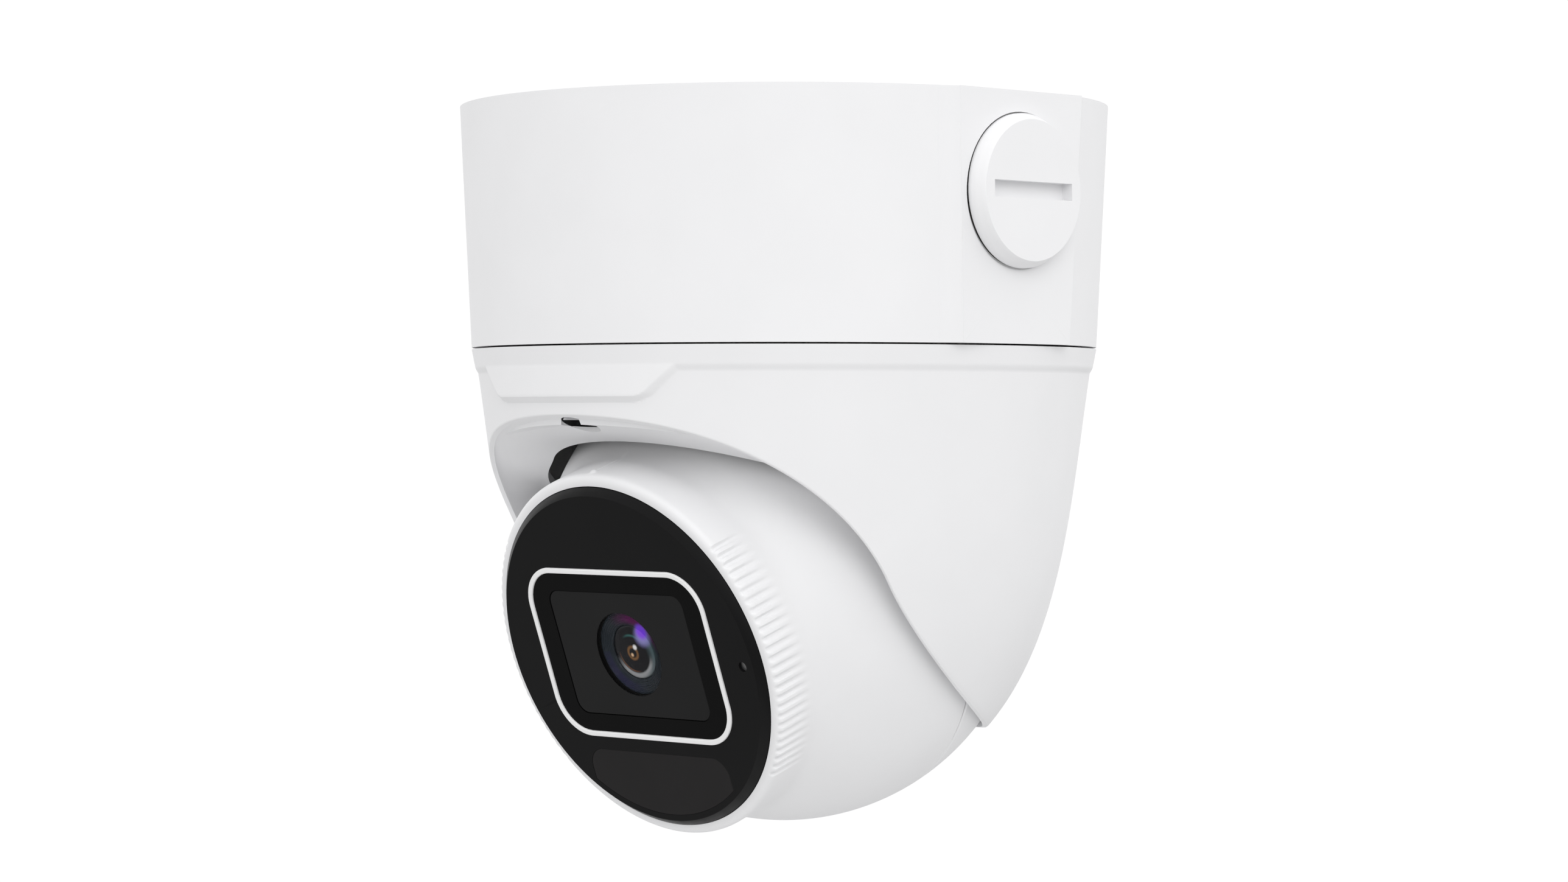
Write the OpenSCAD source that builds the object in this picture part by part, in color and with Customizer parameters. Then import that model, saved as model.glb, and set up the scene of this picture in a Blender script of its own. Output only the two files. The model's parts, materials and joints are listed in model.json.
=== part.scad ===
// Dome camera on a round conduit box, shown with the lens looking a little down.
// Units are millimetres. The origin is the centre of the face that sits on the ceiling;
// +Z goes up into the ceiling, the lens looks along -Y and the conduit entry faces +X.

/* [View] */
// Part to draw, or "all"

/* [Junction box] */
// Diameter of the box where it meets the ceiling
box_d = 129; // [127:0.5:134]
// Diameter of the box at its lower edge
box_low_d = 124.4; // [124:0.1:126]
// Radius of the conduit entry thread
conduit_r = 13.2; // [11:0.1:13.2]
// Pitch circle of the four ceiling screws
fix_pcd = 90; // [84:1:92]
// Radius of each ceiling screw hole
fix_r = 2.6; // [2:0.1:3]
// Radius of the cable hole in the back
cable_r = 11; // [8:0.5:14]

/* [Ball] */
// Radius of the ball
ball_r = 48.68; // [48.2:0.02:48.7]
// How far the lens looks below the horizon
rest_tilt = 20; // [16:1:60]
// Grip grooves on each side of the front rim
groove_n = 26; // [8:1:28]
// Depth of a grip groove
groove_deep = 0.6; // [0.3:0.05:0.8]

/* [Shell] */
// Wall of the shell
shell_wall = 2.4; // [2.1:0.05:2.5]
// Radius of the opening around the top of the ball
opening_r = 46.2; // [45:0.1:48]

/* [Front panel] */
// Width of the lens window
window_w = 37.6; // [32:0.1:39]
// Height of the lens window
window_h = 25.9; // [22:0.1:27]
// Outside width of the light trim frame
trim_w = 49.5; // [47:0.1:50]
// Outside height of the light trim frame
trim_h = 35.4; // [34:0.1:36]

/* [Hidden] */
$fn = 96;
seam_z = -47.7;              // lower edge of the junction box
shell_z = -48.2;             // upper edge of the shell
ball_z = -93.08;             // centre of the ball
gap = 0.3;                   // running clearance on the ball
seat_in = ball_r + gap;
seat_out = seat_in + 1.5;
shoe_in = seat_out + 0.15;
shoe_out = shoe_in + 1.7;
neck_r = 5;                  // tail of the ball
flange_top = -44.8;          // base plate flange
flange_low = -47.4;
table_top = -48.1;           // turntable
table_low = -51.3;
lip_r = 36.5;                // pan bearing
plug_z = -18.9;              // conduit entry height
boss_x = 63.58;              // flat of the conduit boss at the ceiling
boss_lean = 1.417;
boss_w = 17.2;               // half width of the flat at the ceiling and at the seam
boss_low_w = 15;
plane_a = 59.9;              // front lip of the opening, measured forward of the axis
plane_z = -61.1;
plane_slope = 20;
lock_y = -54.5;              // lock screw position
post_r = 53;
post_a = [60, 150, 240, 330];
stack_r = 30;                // board screws inside the ball
stack_a = [90, 210, 330];
case_r = 40;                 // screws that join the halves of the ball
case_a = [45, 135, 225, 315];
panel_y = 1;                 // the window group sits this far above the panel centre
led_x = 11;
led_y = -25.5;
led_fix = [24.5, -18.5];

// ---- helpers -------------------------------------------------------------
function bez(p, t) = pow(1 - t, 3) * p[0] + 3 * t * pow(1 - t, 2) * p[1]
    + 3 * t * t * (1 - t) * p[2] + t * t * t * p[3];

// outline of the shell as [radius, height]
side_curve = [[60.85, -53], [57.07, -79.06], [55.35, -107.3], [39.3, -124.5]];
// side view of the opening as [forward, height], two joined curves
cut_front = [[59.9, -61.1], [47.36, -65.66], [31.13, -77.69], [21.71, -92.89]];
cut_back = [[21.71, -92.89], [14.86, -103.93], [-8.45, -126.48], [-44, -124]];

module tube(ro, ri, z0, z1) {
    difference() {
        translate([0, 0, z0]) cylinder(h = z1 - z0, r = ro);
        if (ri > 0) translate([0, 0, z0 - 1]) cylinder(h = z1 - z0 + 2, r = ri);
    }
}

module at(r, a) { rotate([0, 0, a]) translate([r, 0, 0]) children(); }

module plate(w, h, r, z0, z1) {
    translate([-w / 2 + r, -h / 2, z0]) cube([w - 2 * r, h, z1 - z0]);
    translate([-w / 2, -h / 2 + r, z0]) cube([w, h - 2 * r, z1 - z0]);
    for (x = [-1, 1], y = [-1, 1])
        translate([x * (w / 2 - r), y * (h / 2 - r), z0]) cylinder(h = z1 - z0, r = r);
}

// +Z along the lens axis, origin at the centre of the ball
module in_ball() { translate([0, 0, ball_z]) rotate([90 + rest_tilt, 0, 0]) children(); }

// +Z along the tail of the ball
module in_tail() { in_ball() rotate([180, 0, 0]) children(); }

// +Z along the conduit entry
module in_entry() { translate([0, 0, plug_z]) rotate([0, 90, 0]) children(); }

// ---- junction box --------------------------------------------------------
// column behind (depth below 0) or in front of the flat, narrowing with the casting's draft
module boss_column(depth) {
    translate([boss_x, 0, 0]) rotate([0, boss_lean, 0]) translate([min(depth, 0), 0, 0])
        rotate([90, 0, 90]) linear_extrude(height = abs(depth)) polygon([[-boss_w, 0],
            [-boss_w - 0.1, 5], [boss_w + 0.1, 5], [boss_w, 0], [boss_low_w, seam_z],
            [boss_low_w, seam_z - 5], [-boss_low_w, seam_z - 5], [-boss_low_w, seam_z]]);
}

module junction_box() {
    color("white") difference() {
        union() {
            translate([0, 0, seam_z])
                cylinder(h = -seam_z, r1 = box_low_d / 2, r2 = box_d / 2);
            intersection() {
                boss_column(-20);
                translate([40, -30, seam_z]) cube([30, 60, -seam_z]);
            }
        }
        boss_column(5);
        // wiring space, with a pad kept behind the conduit entry
        difference() {
            translate([0, 0, -41]) cylinder(h = 38, r = 60);
            translate([54, -16, -35]) cube([10, 32, 35]);
            for (a = post_a) at(post_r, a) translate([0, 0, -42]) cylinder(h = 42, r = 4.5);
            at(34, 205) translate([0, 0, -9]) cylinder(h = 9, r = 4);
        }
        // ledge and mouth for the base plate
        difference() {
            translate([0, 0, flange_top - 0.1]) cylinder(h = 4, r = 55.5);
            for (a = post_a) at(post_r, a) translate([0, 0, -50]) cylinder(h = 20, r = 4.5);
        }
        translate([0, 0, -50]) cylinder(h = 50 + flange_top, r = 59.7);
        tube(58.8, 56.8, flange_top - 1, flange_top + 1.4);
        for (a = post_a) at(post_r, a) translate([0, 0, -50]) cylinder(h = 30, r = 1.95);
        at(34, 205) translate([0, 0, -10]) cylinder(h = 8, r = 1.95);
        // ceiling screws and cable hole
        for (a = [45 : 90 : 315]) at(fix_pcd / 2, a) translate([0, 0, -5])
            cylinder(h = 6, r = fix_r);
        translate([0, 0, -5]) cylinder(h = 6, r = cable_r);
        // conduit entry with its sealing face
        in_entry() translate([0, 0, 50]) cylinder(h = 20, r = conduit_r);
        in_entry() translate([0, 0, 62.6]) cylinder(h = 5, r = conduit_r + 1.7);
    }
}

module box_gasket() { color("black") tube(58.75, 56.85, flange_top, flange_top + 1.35); }

module cable_grommet() {
    color("black") difference() {
        union() {
            tube(cable_r + 2.5, 0, -4.5, -3);
            tube(cable_r - 0.05, 0, -3, -0.4);
            tube(cable_r - 3.5, 0, -9, -4.5);
        }
        translate([0, 0, -10]) cylinder(h = 12, r = 3.5);
        translate([0, 0, -4.4]) cylinder(h = 6, r = 6);
    }
}

module conduit_plug() {
    color("white") in_entry() difference() {
        union() {
            translate([0, 0, 55]) cylinder(h = 8.3, r = conduit_r - 0.05);
            translate([0, 0, 63.2]) cylinder(h = 1, r = conduit_r + 1.4);
            translate([0, 0, 64.2])
                cylinder(h = 2.37, r1 = conduit_r + 1.4, r2 = conduit_r + 0.17);
        }
        translate([-1.6, -10.9, 64.1]) cube([3.2, 21.8, 4]);
        translate([0, 0, 54]) cylinder(h = 6, r = conduit_r - 3);
    }
}

module plug_seal() { color("black") in_entry() tube(conduit_r + 1.2, conduit_r + 0.1, 62.6, 63.2); }

module earth_screw() {
    color("silver") at(34, 205) difference() {
        union() {
            translate([0, 0, -11.6]) cylinder(h = 2.6, r = 3.6);
            translate([0, 0, -9]) cylinder(h = 6, r = 1.9);
        }
        for (a = [0, 90]) rotate([0, 0, a]) translate([-2, -0.4, -12]) cube([4, 0.8, 1.6]);
    }
}

// ---- base plate and pan bearing ------------------------------------------
module base_plate() {
    color("silver") difference() {
        union() {
            tube(59.5, lip_r, flange_low, flange_top);
            tube(43, 40.5, flange_low, -31.5);
            tube(43, 8, -34, -31.5);
        }
        for (a = post_a) at(post_r, a) {
            translate([0, 0, -50]) cylinder(h = 8, r = 2.2);
            translate([0, 0, flange_low - 0.01]) cylinder(h = 2, r1 = 4.2, r2 = 2.2);
        }
    }
}

module base_screws() {
    color("silver") for (a = post_a) at(post_r, a) difference() {
        union() {
            translate([0, 0, flange_low + 0.1]) cylinder(h = 1.9, r1 = 4, r2 = 1.9);
            translate([0, 0, flange_low + 1.9]) cylinder(h = 14, r = 1.9);
        }
        for (b = [0, 90]) rotate([0, 0, b]) translate([-2, -0.4, flange_low - 1])
            cube([4, 0.8, 2]);
    }
}

module base_bush() {
    color("black") difference() {
        union() {
            tube(7.95, 0, -34, -31.5);
            tube(10, 0, -36, -34);
            tube(10, 0, -31.5, -29.5);
            tube(6.5, 0, -29.5, -27);
        }
        translate([0, 0, -32]) cylinder(h = 12, r = 4);
        translate([0, 0, -40]) cylinder(h = 9.1, r = 5.2);
    }
}

module slip_washer() { color("white") tube(48.5, 38, table_top + 0.05, flange_low - 0.05); }

module turntable() {
    color("dimgray") difference() {
        union() {
            tube(54.4, 34.6, table_low, table_top);
            tube(57.5, 50, table_low, -50);
            tube(lip_r - 0.1, 34.6, table_low, -41.6);
            translate([0, lock_y, -54.5]) cylinder(h = 4.5, r = 3.3);
        }
        tube(40, 35.15, -44.6, -42.95);
        translate([0, 0, table_low - 0.01]) cylinder(h = 2.8, r1 = 38, r2 = 34.6);
        for (a = [30, 150, 270]) at(43.5, a) translate([0, 0, -60]) cylinder(h = 20, r = 2);
        translate([0, lock_y, -60]) cylinder(h = 20, r = 2);
    }
}

module pan_clip() {
    color("silver") difference() {
        tube(39, 35.25, -44.5, -43.1);
        translate([-6, 20, -50]) cube([12, 20, 20]);
    }
}

// ---- shell ---------------------------------------------------------------
module shell_outline() {
    rotate_extrude() polygon(concat([[0, shell_z], [62.2, shell_z], [61.7, -51.7]],
        [for (i = [0 : 24]) bez(side_curve, i / 24)], [[0, -124.5]]));
}

module shell_hollow() {
    rotate_extrude() polygon(concat([[0, shell_z + 1], [59.8, shell_z + 1], [59.8, -51.7]],
        [for (i = [0 : 24]) bez(side_curve, i / 24) - [shell_wall, 0]],
        [[39.3 - shell_wall, -130], [0, -130]]));
}

module name_tab() {
    intersection() {
        rotate_extrude() polygon([[58.5, -50], [61.95, -50], [61.4, -57.6], [60.5, -58.6],
            [58.5, -58.6]]);
        rotate([90, 0, 0]) linear_extrude(height = 70)
            polygon([[-28.5, -51], [28.5, -51], [21.5, -58.6], [-21.5, -58.6]]);
    }
}

// everything below the edge of the opening, seen from the side
module opening_cut() {
    rotate([90, 0, -90]) translate([0, 0, -70]) linear_extrude(height = 140)
        polygon(concat([[75, -54.5]], [for (i = [0 : 20]) bez(cut_front, i / 20)],
            [for (i = [1 : 20]) bez(cut_back, i / 20)], [[-70, -121.9], [-70, -140],
            [75, -140]]));
}

module below_plane(drop) {
    translate([0, -plane_a, plane_z + drop]) rotate([-plane_slope, 0, 0])
        translate([-80, -40, -80]) cube([160, 140, 80]);
}

module shell() {
    color("white") difference() {
        union() {
            difference() {
                union() { shell_outline(); name_tab(); }
                shell_hollow();
            }
            // floor of the recess in front of the ball
            intersection() {
                shell_outline();
                difference() { below_plane(3); translate([0, 0, -30]) below_plane(0); }
                translate([-70, -70, -90]) cube([140, 52, 60]);
            }
            intersection() {
                shell_outline();
                translate([0, lock_y, -66]) cylinder(h = 11.2, r = 5.5);
            }
            for (a = [50, 130]) intersection() {
                tube(60.5, 55.2, -49.9, -48.4);
                at(57, a) translate([-5, -7, -55]) cube([10, 14, 10]);
            }
        }
        opening_cut();
        // deepen the recess inside the rim
        intersection() {
            below_plane(0);
            shell_hollow();
            translate([-70, -75, -130]) cube([140, 75, 100]);
        }
        translate([0, 0, -110]) cylinder(h = 50, r = opening_r);
        translate([0, 0, ball_z]) sphere(r = seat_in + 0.05);
        translate([0, lock_y, -70]) cylinder(h = 10.4, r = 3.75);
        translate([0, lock_y, -70]) cylinder(h = 30, r = 2.3);
    }
}

module lock_screw() {
    color("silver") translate([0, lock_y, 0]) difference() {
        union() {
            translate([0, 0, -62.1]) cylinder(h = 2.4, r = 3.4);
            translate([0, 0, -60]) cylinder(h = 9.5, r = 1.95);
        }
        translate([0, 0, -63]) cylinder(h = 2.3, r = 1.7, $fn = 6);
    }
}

// ---- ball seat -----------------------------------------------------------
module seat_band() {
    difference() {
        translate([0, 0, ball_z]) sphere(r = seat_out);
        translate([0, 0, ball_z]) sphere(r = seat_in);
        translate([0, 0, ball_z]) rotate([-18.1, 0, 0]) translate([-80, -80, -143.3])
            cube([160, 160, 160]);
    }
}

module ball_seat() {
    color("dimgray") difference() {
        union() {
            seat_band();
            difference() {
                tube(48.5, 33.5, -56.9, -54.4);
                translate([0, 0, ball_z]) sphere(r = seat_out - 0.2);
            }
        }
        // slot for the tail of the ball, from low at the back up to the top
        translate([0, 0, ball_z]) rotate([9.2, 0, 0]) translate([-neck_r - 0.2, 4, 0])
            cube([2 * neck_r + 0.4, 80, 80]);
        translate([0, 4.4, ball_z + 20]) cylinder(h = 50, r = neck_r + 0.2);
        translate([-11, 30, -60]) cube([22, 15, 10]);
        for (a = [30, 150, 270]) at(43.5, a) translate([0, 0, -60]) cylinder(h = 10, r = 2.6);
    }
}

module seat_springs() {
    color("silver") for (a = [30, 150, 270]) at(43.5, a) for (i = [0 : 3])
        translate([0, 0, -54.4 + 0.775 * i]) rotate_extrude()
            polygon(i % 2 == 0 ? [[2.65, 0.38], [4.6, 0], [4.6, 0.38], [2.65, 0.76]]
                : [[2.65, 0], [4.6, 0.38], [4.6, 0.76], [2.65, 0.38]]);
}

module seat_screws() {
    color("silver") for (a = [30, 150, 270]) at(43.5, a) difference() {
        union() {
            translate([0, 0, -59.2]) cylinder(h = 2.1, r = 4);
            translate([0, 0, -57.2]) cylinder(h = 5.9, r = 2.5);
            translate([0, 0, -51.4]) cylinder(h = 3.1, r = 1.95);
        }
        translate([0, 0, -60]) cylinder(h = 2, r = 1.5, $fn = 6);
    }
}

module tilt_shoe() {
    color("gainsboro") in_tail() difference() {
        intersection() {
            difference() { sphere(r = shoe_out); sphere(r = shoe_in); }
            translate([0, 0, 40]) cylinder(h = 20, r = 9.6);
        }
        translate([0, 0, 40]) cylinder(h = 20, r = neck_r + 0.06);
    }
}

// ---- ball ----------------------------------------------------------------
module ball_rear() {
    color("white") in_ball() difference() {
        union() {
            difference() {
                sphere(r = ball_r);
                sphere(r = ball_r - 2.3);
            }
            intersection() { sphere(r = ball_r - 1); tube(48, 43.2, -3.2, 0); }
            intersection() {
                sphere(r = ball_r - 1);
                union() {
                    for (a = case_a) at(case_r, a) translate([0, 0, -10]) cylinder(h = 10, r = 3.4);
                    for (a = stack_a) at(stack_r, a) translate([0, 0, -45]) cylinder(h = 34.1, r = 3.2);
                }
            }
            translate([0, 0, -53.4]) cylinder(h = 7.4, r = neck_r);
        }
        translate([-60, -60, -0.1]) cube([120, 120, 60]);
        tube(45.5, 44.1, -1.1, 0);
        for (a = case_a) at(case_r, a) translate([0, 0, -9]) cylinder(h = 10, r = 1.5);
        for (a = stack_a) at(stack_r, a) translate([0, 0, -18]) cylinder(h = 10, r = 1.3);
        translate([0, 0, -60]) cylinder(h = 20, r = 3.15);
        tube(8, 4.25, -53.1, -52.35);
    }
}

module front_rim() {
    rotate_extrude() polygon(concat([[33.2, 28], [37.3, 28], [37.3, 41.15]],
        [for (i = [1 : 6]) [35.4 + 1.9 * cos(i * 15), 41.15 + 1.9 * sin(i * 15)]],
        [[35.15, 43.05], [35.15, 40.4], [33.2, 40.4]]));
}

module ball_front() {
    color("white") in_ball() difference() {
        union() {
            intersection() {
                difference() { sphere(r = ball_r); sphere(r = ball_r - 2.3); }
                translate([0, 0, 0.1]) cylinder(h = 31.2, r = 60);
            }
            front_rim();
            intersection() { sphere(r = ball_r - 1); tube(48, 43.2, 0.1, 3.2); }
            intersection() {
                sphere(r = ball_r - 1);
                for (a = case_a) at(case_r, a) translate([0, 0, 0.1]) cylinder(h = 7.9, r = 3.4);
            }
            translate([0, 37.1, 40.6]) sphere(r = 0.7);
        }
        for (a = case_a) at(case_r, a) {
            translate([0, 0, -1]) cylinder(h = 12, r = 1.65);
            translate([0, 0, 8]) cylinder(h = 6, r = 2.9);
        }
        // grip grooves, deepest at the front and running out towards the ball
        for (s = [0, 180], i = [0 : groove_n - 1])
            rotate([0, 0, s + 38 - i * 76 / (groove_n - 1)]) translate([37.3 + 0.03, 0, 33.7])
                rotate([0, -atan(groove_deep / 9), 0]) translate([0, -0.5, 0])
                    cube([3, 1, 10]);
        // sight line along the rim, behind the mark
        translate([-0.2, 37.05, 31]) cube([0.4, 2, 9.2]);
    }
}

module ball_seal() {
    color("black") in_ball() tube(45.45, 44.15, -1.05, 0.05);
}

module ball_screws() {
    color("silver") in_ball() for (a = case_a) at(case_r, a) difference() {
        union() {
            translate([0, 0, 8]) cylinder(h = 2, r = 2.6);
            translate([0, 0, -8]) cylinder(h = 16.5, r = 1.45);
        }
        for (b = [0, 90]) rotate([0, 0, b]) translate([-1.5, -0.3, 9]) cube([3, 0.6, 2]);
    }
}

module tail_clip() {
    color("silver") in_tail() difference() {
        tube(7, 4.3, 52.4, 53.05);
        translate([-1.2, 3, 50]) cube([2.4, 8, 5]);
    }
}

module tail_bush() {
    color("black") in_tail() difference() {
        union() { tube(3.1, 0, 45.5, 53.4); tube(6.5, 0, 42, 45.85); }
        translate([0, 0, 40]) cylinder(h = 20, r = 2);
        translate([0, 0, 45.8]) cylinder(h = 10, r = 2.4);
    }
}

// ---- front panel ---------------------------------------------------------
module ir_shape(m, z0, z1) {
    intersection() {
        translate([0, 0, z0]) cylinder(h = z1 - z0, r = 32.5 - m);
        translate([0, -26.5, 0]) plate(38.8 - 2 * m, 14 - 2 * m, 4 - m, z0, z1);
    }
}

module front_panel() {
    color("black") in_ball() difference() {
        union() {
            translate([0, 0, 40.95]) cylinder(h = 2.25, r = 35.05);
            translate([0, 0, 43.2]) cylinder(h = 1.3, r1 = 35.05, r2 = 33.7);
            for (x = [-1, 1]) translate([x * led_fix[0], led_fix[1], 37.65])
                cylinder(h = 4, r = 1.8);
        }
        translate([0, panel_y, 0]) {
            plate(trim_w, trim_h, 8.3, 43.7, 45);
            plate(window_w, window_h, 2.8, 43.4, 45);
            plate(window_w - 3, window_h - 3, 2, 40, 45);
        }
        ir_shape(0, 43.3, 45);
        ir_shape(1.6, 40, 45);
        translate([31, 0, 40]) cylinder(h = 6, r = 1);
        for (x = [-1, 1]) translate([x * led_fix[0], led_fix[1], 37])
            cylinder(h = 4.5, r = 0.8);
    }
}

module panel_seal() { color("black") in_ball() tube(35.1, 33.3, 40.4, 40.95); }

module trim_frame() {
    color("white") in_ball() translate([0, panel_y, 0]) difference() {
        plate(trim_w - 0.04, trim_h - 0.04, 8.28, 43.7, 44.9);
        plate(trim_w - 2.2, trim_h - 2.2, 7.2, 43, 46);
    }
}

module lens_window() {
    color([0.3, 0.35, 0.4, 0.5]) in_ball() translate([0, panel_y, 0])
        plate(window_w - 0.1, window_h - 0.1, 2.75, 43.4, 44.3);
}

module ir_window() { color([0.15, 0.1, 0.1]) in_ball() ir_shape(0.05, 43.3, 44.45); }

module mic_mesh() { color("gray") in_ball() translate([31, 0, 43.6]) cylinder(h = 0.3, r = 0.98); }

module microphone() {
    color("silver") in_ball() translate([30.9, 0, 38.7]) difference() {
        cylinder(h = 2.2, r = 2.1);
        translate([0, 0, 1.6]) cylinder(h = 1, r = 0.5);
    }
}

module light_baffle() {
    color("black") in_ball() translate([0, panel_y, 0]) difference() {
        plate(44, 30, 4, 37, 40.9);
        translate([0, 0, 30]) cylinder(h = 20, r = 8.75);
    }
}

// ---- lens ----------------------------------------------------------------
module lens_barrel() {
    color("black") in_ball() translate([0, panel_y, 0]) difference() {
        union() {
            tube(6.3, 0, 21, 31);
            tube(7.4, 0, 31, 38);
            tube(8.65, 0, 38, 43.2);
        }
        translate([0, 0, 20]) cylinder(h = 12, r = 4.2);
        translate([0, 0, 31]) cylinder(h = 8, r = 5.2);
        // stepped light baffle in front of the glass
        for (i = [0 : 3]) translate([0, 0, 39 + i]) cylinder(h = 5, r = 5.4 + 0.65 * i);
    }
}

module front_lens() {
    color([0.5, 0.4, 0.6, 0.6]) in_ball() translate([0, panel_y, 0]) intersection() {
        translate([0, 0, 31]) sphere(r = 10.6);
        translate([0, 0, 36.5]) cylinder(h = 6, r = 5.15);
    }
}

module rear_lens() {
    color([0.4, 0.5, 0.6, 0.6]) in_ball() translate([0, panel_y, 0]) intersection() {
        translate([0, 0, 34]) sphere(r = 12);
        translate([0, 0, 22]) cylinder(h = 5, r = 4.15);
    }
}

module lens_holder() {
    color("dimgray") in_ball() translate([0, panel_y, 0]) difference() {
        union() {
            tube(9, 0, 19, 30);
            plate(27, 21, 2, 12.6, 19.5);
        }
        translate([0, 0, 12]) cylinder(h = 20, r = 6.35);
        plate(25.2, 13.4, 1, 12.5, 18);
        translate([5, 0, 15.6]) rotate([0, 90, 0]) cylinder(h = 10, r = 0.8);
    }
}

module filter_frame() {
    color("black") in_ball() translate([0, panel_y, 0]) difference() {
        plate(25, 13, 0.9, 13.8, 17.4);
        translate([0, 0, 13]) cylinder(h = 6, r = 3.1);
        translate([-10.9, -4.6, 14.9]) cube([22.3, 9.2, 1.4]);
        translate([5, 0, 15.6]) rotate([0, 90, 0]) cylinder(h = 10, r = 0.75);
    }
}

module cut_filter() {
    color([0.5, 0.75, 0.75, 0.6]) in_ball() translate([0, panel_y, 15]) union() {
        translate([-10.7, -4.4, 0]) cube([14.7, 8.8, 1.2]);
        translate([3, 0, 0.6]) rotate([0, 90, 0]) cylinder(h = 9.4, r = 0.5);
    }
}

module filter_coil() {
    color("goldenrod") in_ball() translate([0, panel_y, 15.6]) rotate([0, 90, 0]) {
        tube(2.2, 0.75, 13.7, 20.4);
        tube(3, 0.75, 13.7, 14.4);
        tube(3, 0.75, 19.7, 20.4);
    }
}

module image_sensor() {
    color("dimgray") in_ball() translate([0, panel_y, 0]) plate(11, 9.5, 0.3, 11.6, 12.5);
}

module sensor_board() {
    color("darkgreen") in_ball() difference() {
        translate([0, 0, 10]) cylinder(h = 1.6, r = 34);
        for (a = stack_a) at(stack_r, a) translate([0, 0, 9]) cylinder(h = 4, r = 1.4);
        for (a = case_a) at(case_r, a) translate([0, 0, 9]) cylinder(h = 4, r = 8);
    }
}

module board_spacers() {
    color("gold") in_ball() for (a = stack_a) at(stack_r, a) {
        tube(2.6, 1.35, -4.4, 10);
        tube(2.6, 1.35, -8.9, -6);
    }
}

module board_screws() {
    color("silver") in_ball() for (a = stack_a) at(stack_r, a) difference() {
        union() {
            translate([0, 0, 11.6]) cylinder(h = 1.6, r = 2.3);
            translate([0, 0, -17]) cylinder(h = 29, r = 1.25);
        }
        for (b = [0, 90]) rotate([0, 0, b]) translate([-1.3, -0.25, 12.5]) cube([2.6, 0.5, 1]);
    }
}

module main_board() {
    color("darkgreen") in_ball() difference() {
        translate([0, 0, -6]) cylinder(h = 1.6, r = 36);
        for (a = stack_a) at(stack_r, a) translate([0, 0, -7]) cylinder(h = 4, r = 1.4);
        for (a = case_a) at(case_r, a) translate([0, 0, -7]) cylinder(h = 4, r = 8);
    }
}

module processor() {
    color("black") in_ball() translate([0, 0, -7.3]) plate_at(15, 15, 0, 1.3);
}

module plate_at(w, h, z0, z1) { translate([-w / 2, -h / 2, z0]) cube([w, h, z1 - z0]); }

module thermal_pad() {
    color("lightblue") in_ball() plate_at(16, 16, -8.9, -7.3);
}

module heat_spreader() {
    color("silver") in_ball() difference() {
        translate([0, 0, -10.9]) cylinder(h = 2, r = 34);
        for (a = stack_a) at(stack_r, a) translate([0, 0, -12]) cylinder(h = 4, r = 1.4);
        for (a = [30, 150, 270]) at(30, a) translate([0, 0, -12]) cylinder(h = 4, r = 7);
    }
}

module power_socket() {
    color("ivory") in_ball() translate([0, -24, 0]) difference() {
        plate_at(14, 6, -4.4, 1.4);
        plate_at(12.4, 4.4, -3.2, 2);
    }
}

module card_socket() {
    color("silver") in_ball() translate([17, 6, 0]) difference() {
        plate_at(14, 15, -4.4, -2.5);
        translate([0, 2, 0]) plate_at(11.4, 16, -4.1, -2.8);
    }
}

module memory_card() {
    color("black") in_ball() translate([17, 8.3, -4.0]) plate_at(11, 15, 0, 1.0);
}

module reset_switch() {
    color("silver") in_ball() translate([-22, 4, 0]) difference() {
        plate_at(6, 6, -4.4, -1);
        translate([0, 0, -3]) cylinder(h = 4, r = 1.8);
    }
}

module reset_button() {
    color("black") in_ball() translate([-22, 4, -2.6]) cylinder(h = 2.4, r = 1.75);
}

// ---- illuminators --------------------------------------------------------
module led_board() {
    color("white") in_ball() difference() {
        intersection() {
            translate([0, 0, 36]) cylinder(h = 1.6, r = 32.6);
            translate([-31, -40, 30]) cube([62, 25, 20]);
        }
        for (x = [-1, 1]) translate([x * led_fix[0], led_fix[1], 35]) cylinder(h = 4, r = 1);
    }
}

module led_screws() {
    color("silver") in_ball() for (x = [-1, 1]) translate([x * led_fix[0], led_fix[1], 0])
        difference() {
            union() {
                translate([0, 0, 34.9]) cylinder(h = 1.1, r = 1.7);
                translate([0, 0, 35.5]) cylinder(h = 5.4, r = 0.78);
            }
            for (b = [0, 90]) rotate([0, 0, b]) translate([-1, -0.2, 34.4]) cube([2, 0.4, 0.9]);
        }
}

module led_at(x) {
    translate([x, led_y, 0]) {
        plate_at(3.5, 3.5, 37.6, 38.4);
        translate([0, 0, 38.95]) sphere(r = 1.3);
    }
}

module ir_leds() { color("dimgray") in_ball() for (x = [-led_x, led_x]) led_at(x); }

module white_led() { color("khaki") in_ball() led_at(0); }

module led_cups() {
    color("silver") in_ball() for (x = [-led_x, 0, led_x]) translate([x, led_y, 0])
        difference() {
            translate([0, 0, 37.6]) cylinder(h = 3.2, r = 5.2);
            translate([0, 0, 37.5]) cylinder(h = 3.4, r1 = 2.7, r2 = 4.8);
        }
}

junction_box();
box_gasket();
cable_grommet();
conduit_plug();
plug_seal();
earth_screw();
base_plate();
base_screws();
base_bush();
slip_washer();
turntable();
pan_clip();
shell();
lock_screw();
ball_seat();
seat_springs();
seat_screws();
tilt_shoe();
ball_rear();
ball_front();
ball_seal();
ball_screws();
tail_clip();
tail_bush();
front_panel();
panel_seal();
trim_frame();
lens_window();
ir_window();
mic_mesh();
microphone();
light_baffle();
lens_barrel();
front_lens();
rear_lens();
lens_holder();
filter_frame();
cut_filter();
filter_coil();
image_sensor();
sensor_board();
board_spacers();
board_screws();
main_board();
processor();
thermal_pad();
heat_spreader();
power_socket();
card_socket();
memory_card();
reset_switch();
reset_button();
led_board();
led_screws();
ir_leds();
white_led();
led_cups();
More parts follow.
